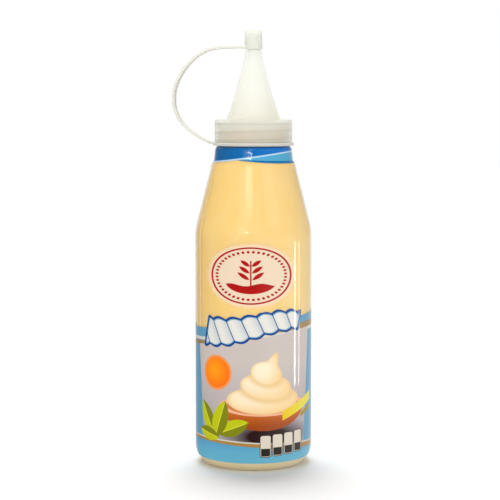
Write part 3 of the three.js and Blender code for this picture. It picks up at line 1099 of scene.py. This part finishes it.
def strap_tree():
    tree, sizes = new_tree("Strap", Width=STRAP_WIDTH, Thickness=STRAP_THICKNESS, Twist=STRAP_TWIST)
    path = step(tree, "GeometryNodeMeshToCurve", {"Mesh": sizes["Geometry"]})
    upright = step(tree, "GeometryNodeSetCurveNormal", {"Curve": path}, mode="FREE")
    upright.inputs["Normal"].default_value = (0, 1, 0)
    along = Field(step(tree, "GeometryNodeSplineParameter").outputs["Factor"])
    swell = (along * math.pi).sine()
    turn = swell * swell * Field(sizes["Twist"]) * (math.pi / 180)
    twisted = step(tree, "GeometryNodeSetCurveTilt", {"Curve": upright, "Tilt": turn})
    section = step(tree, "GeometryNodeCurvePrimitiveQuadrilateral",
                   {"Width": Field(sizes["Width"]) * MM, "Height": Field(sizes["Thickness"]) * MM})
    soft = step(tree, "GeometryNodeFilletCurve",
                {"Curve": section, "Radius": STRAP_EDGE * MM, "Count": 4}, mode="POLY")
    bar = step(tree, "GeometryNodeCurveToMesh",
               {"Curve": twisted, "Profile Curve": soft, "Fill Caps": True})
    end_tree(tree, bar, sizes["Material"])
    return tree


def make_strap(material):
    route = smooth_route(STRAP_ROUTE, 12)
    mesh = bpy.data.meshes.new("strap_route")
    points = [(AXIS + x * MM, 0, z * MM) for x, z in route]
    mesh.from_pydata(points, [(i, i + 1) for i in range(len(points) - 1)], [])
    return grown("strap", strap_tree(), placed("strap_route", mesh), material)


# %% Turn the ring and the cap, and join all three
RING_INNER_RADIUS = 13.2
RING_TOP = 129.6
CAP_RADIUS = 3.55
CAP_TOP_RADIUS = 3.4
CAP_BOTTOM = 166.6
CAP_CAVITY_RADIUS = 2.8
CAP_CAVITY_TOP = 172.9


def make_tether(material):
    ring = turned("ring", softened([
        (RING_INNER_RADIUS, RING_BOTTOM, 0.2), (RING_RADIUS, RING_BOTTOM, 0.3),
        (RING_RADIUS, RING_TOP, 0.3), (RING_INNER_RADIUS, RING_TOP, 0.2)]), NECK_SIDES)
    cap = turned("cap", [(0, CAP_CAVITY_TOP), *softened([
        (CAP_CAVITY_RADIUS - 0.3, CAP_CAVITY_TOP, 0.3), (CAP_CAVITY_RADIUS, CAP_BOTTOM, 0.2),
        (CAP_RADIUS, CAP_BOTTOM, 0.25), (CAP_TOP_RADIUS, CAP_TOP, 0.9), (0, CAP_TOP, 0)])],
        CAP_SIDES)
    return fused("tether_and_cap", ring, make_strap(material), cap)


# %% Name where the milky plastic is thicker, or where another thing shows behind it, and where shade is painted in darker colours
THREAD_HEIGHT = 130.8
THREAD_TOP = 135.6
THREAD_SHADE_SHARE = 0.75
RIM_DEPTH = 0.4


def below(height):
    """A share that rises from 0 at a height to 1 a millimetre lower."""
    return lambda out, up, turn: (up * -1.0 + height).held()


def outside(radius):
    """A share that rises from 0 at a distance from the axis to 1 half a millimetre further out."""
    return lambda out, up, turn: ((out - radius) * 2.0).held()


def painted_thread_shade(out, up, turn):
    """Painted shade: a soft dark line along each turn of the skirt's thread, and one where the neck's
    rim stands.
    """
    turns = (up - THREAD_HEIGHT) / THREAD_PITCH - turn / (2 * math.pi)
    from_line = ((turns + 0.5).fraction() - 0.5).size() * THREAD_PITCH
    line = (from_line * -2.0 + 1.0).held() * (up * -1.0 + THREAD_TOP).held()
    rim = ((up - (MOUTH - RIM_DEPTH)).size() * -2.5 + 1.0).held()
    return line.upper(rim) * THREAD_SHADE_SHARE


# Painted shade: the skirt under the deck is darker, for the dim neck behind it, and it also lets more
# light straight through.
skirt_in_painted_shade = (below(DECK_TOP + 0.5), seen(233, 233, 228), 0.46, GLOW_SHARE)
thread_shade_zone = (painted_thread_shade, seen(196, 192, 180), 0.3, GLOW_SHARE)
on_strap = (outside(CAP_RADIUS), seen(225, 224, 215), 0.0, 0.3)
# Painted shade: the ring under the skirt is darker, as the skirt shades it.
ring_in_painted_shade = (below(RING_TOP + 0.4), seen(229, 228, 222), 0.12, GLOW_SHARE)

# %% Make all five pieces and dress them
mayonnaise_look = mayonnaise_finish()
bottle_look = clear_finish("clear_bottle", (0.99, 0.99, 0.98, 1), 0.01, 0.1, seen(244, 243, 222))
film_look = film_finish()
nozzle_look = milky_finish("milky_nozzle", seen(245, 246, 242), 0.38, [skirt_in_painted_shade, thread_shade_zone])
tether_look = milky_finish("milky_tether", seen(239, 240, 233), 0.08, [on_strap, ring_in_painted_shade])

pieces = {
    "mayonnaise": (make_mayonnaise(), mayonnaise_look, "mayonnaise"),
    "bottle": (make_bottle(bottle_look), bottle_look, "clear_bottle"),
    "printed_film": (make_film(film_look), film_look, "printed_film"),
    "nozzle": (make_nozzle(nozzle_look), nozzle_look, "milky_plastic"),
    "tether_cap": (make_tether(tether_look), tether_look, "milky_plastic"),
}
for node, (piece, look, slot) in pieces.items():
    piece.data.materials.clear()
    piece.data.materials.append(look)
    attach(piece, "root")
    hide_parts(node)

# %% [markdown]
# ## Floor, light and camera
#
# A catalogue photo stands the thing on a white sheet in a soft, almost even light. A world of plain
# white gives the even light and the pale edges of the clear plastic. Lamps add what has a direction:
# soft boxes for the long shine on the shoulder, two thin strips at the right for the bright lines down
# the side, and a broad far light from above for the shadow at the foot. The front lamps light only the
# pieces, so that the sheet keeps its soft shadow, and one light of its own keeps the sheet white. The
# bounce stands for what a white sheet throws back up. Mirrors don't show the sheet, which would turn
# the edges of the clear film grey.


# %% Lay the floor
FLOOR_RADIUS, FLOOR_THICKNESS = 3000, 0.5


def make_floor():
    floor = turned("floor", [(0, -FLOOR_THICKNESS), (FLOOR_RADIUS, -FLOOR_THICKNESS),
                             (FLOOR_RADIUS, 0), (0, 0)], 96)
    material, tree = new_material("pale_sheet")
    cloud = noise(tree, in_millimetres(tree)[1], 0.004, 2.0)
    tone = blended(tree, cloud, seen(250, 250, 250), seen(252, 252, 252))
    end_material(tree, layer(tree, "Diffuse", {"Color": tone}))
    floor.data.materials.append(material)
    floor.visible_glossy = False
    return floor


sheet_of_paper = make_floor()


# %% Fill the world with white, dimmer for what the lamps light and for mirrors at the front
WORLD_FILL = 0.42
MIRROR_FRONT, MIRROR_BACK, MIRROR_START = 0.2, 0.8, 0.6
MIRROR_RIGHT, MIRROR_LOW, MIRROR_FALL = 0.6, 0.5, 6.0


def light_world():
    world = bpy.data.worlds.new("white_studio")
    bpy.context.scene.world = world
    world.use_nodes = True
    tree = world.node_tree
    tree.nodes.clear()
    direction = step(tree, "ShaderNodeTexCoord").outputs["Generated"]
    parts = step(tree, "ShaderNodeSeparateXYZ", {0: direction}).outputs
    forward, right, up = Field(parts["Y"]), Field(parts["X"]), Field(parts["Z"])
    behind = ((forward - MIRROR_START) / (1 - MIRROR_START)).held()
    mirrored = behind * behind * (MIRROR_BACK - MIRROR_FRONT) + MIRROR_FRONT
    low_share = (up * -MIRROR_FALL + MIRROR_LOW).held() + MIRROR_LOW
    mirrored = right.held() * low_share * MIRROR_RIGHT + mirrored
    path = step(tree, "ShaderNodeLightPath").outputs
    direct, glossy = Field(path["Is Camera Ray"]), Field(path["Is Glossy Ray"])
    level = glossy * (mirrored - WORLD_FILL) + WORLD_FILL
    level = direct * (1.0 - level) + level
    sky = step(tree, "ShaderNodeBackground", {"Color": WHITE, "Strength": level})
    step(tree, "ShaderNodeOutputWorld", {"Surface": sky})


light_world()


# %% Gather what the front lamps light, and the sheet, which has a light of its own
dressed = bpy.data.collections.new("dressed")
for piece, _, _ in pieces.values():
    dressed.objects.link(piece)
ground = bpy.data.collections.new("ground")
ground.objects.link(sheet_of_paper)


# %% Hang the lamps
def lamp(name, azimuth, distance, height, width, tall, brightness, aim):
    """An area lamp. Azimuth 0 is at the camera and 90 at the right; brightness 1 is plain white."""
    a = math.radians(azimuth)
    light = bpy.data.lights.new(name, "AREA")
    light.shape = "RECTANGLE"
    light.size, light.size_y = width * MM, tall * MM
    light.energy = math.pi * width * tall * MM * MM * brightness
    box = placed(name, light)
    box.location = (AXIS + distance * math.sin(a) * MM, -distance * math.cos(a) * MM, height * MM)
    target = Vector((AXIS, 0, aim * MM))
    box.rotation_euler = (target - box.location).to_track_quat("-Z", "Y").to_euler()
    box.visible_camera = False
    box.light_linking.receiver_collection = dressed
    print(f"{name}: {light.energy:.2f} W")


lamp("shoulder_box", -12, 1000, 668, 320, 210, 4.2, 110)
lamp("shoulder_halo", -17, 1010, 600, 550, 380, 0.35, 110)
lamp("shoulder_side", 39, 1000, 600, 450, 400, 0.5, 110)
lamp("low_box", -23, 1000, 330, 280, 300, 1.3, 100)
lamp("band_core", -12, 990, 297, 300, 8, 58.0, 124)
lamp("band_low", -12, 990, 287, 300, 5, 20.0, 124)
lamp("strip_wide", 83, 150, 45, 9, 69, 16.0, 45)
lamp("strip_narrow", 94.5, 150, 45, 5, 69, 11.0, 45)


def broad_light(name, azimuth, elevation, level, softness, receivers=None, blockers=None):
    """A broad far light that mirrors don't show. Level is how white it makes a sheet that faces it."""
    light = bpy.data.lights.new(name, "SUN")
    light.energy = math.pi * level
    light.angle = math.radians(softness)
    sun = placed(name, light)
    a, e = math.radians(azimuth), math.radians(elevation)
    towards = Vector((math.sin(a) * math.cos(e), -math.cos(a) * math.cos(e), math.sin(e)))
    sun.rotation_euler = towards.to_track_quat("Z", "Y").to_euler()
    sun.visible_glossy = False
    sun.light_linking.receiver_collection = receivers
    sun.light_linking.blocker_collection = blockers
    print(f"{name}: from {azimuth} degrees round and {elevation} up")


broad_light("key", 0, 45, 0.72, 36, dressed)
broad_light("left_fill", -112, 15, 0.3, 60, dressed)
broad_light("bounce", 0, -65, 0.3, 60, dressed, dressed)
broad_light("back_fill", 165, 12, 0.35, 50, dressed)
broad_light("overhead", 186, 71, 0.62, 28)
broad_light("floor_fill", 0, 40, 0.17, 60, ground)

# %% Set the camera where the photograph was taken
CAMERA_BACK = 643
CAMERA_HEIGHT = 144.7
CAMERA_LEFT = 1.4
CAMERA_TILT = 5.2
CAMERA_LENS = 115.2
camera = placed("camera", bpy.data.cameras.new("camera"))
camera.location = (AXIS - CAMERA_LEFT * MM, -CAMERA_BACK * MM, CAMERA_HEIGHT * MM)
camera.rotation_euler = (math.radians(90 - CAMERA_TILT), 0, 0)
camera.data.lens = CAMERA_LENS
camera.data.clip_start, camera.data.clip_end = 0.01, 20
bpy.context.scene.camera = camera
bpy.context.scene.view_settings.view_transform = "Standard"
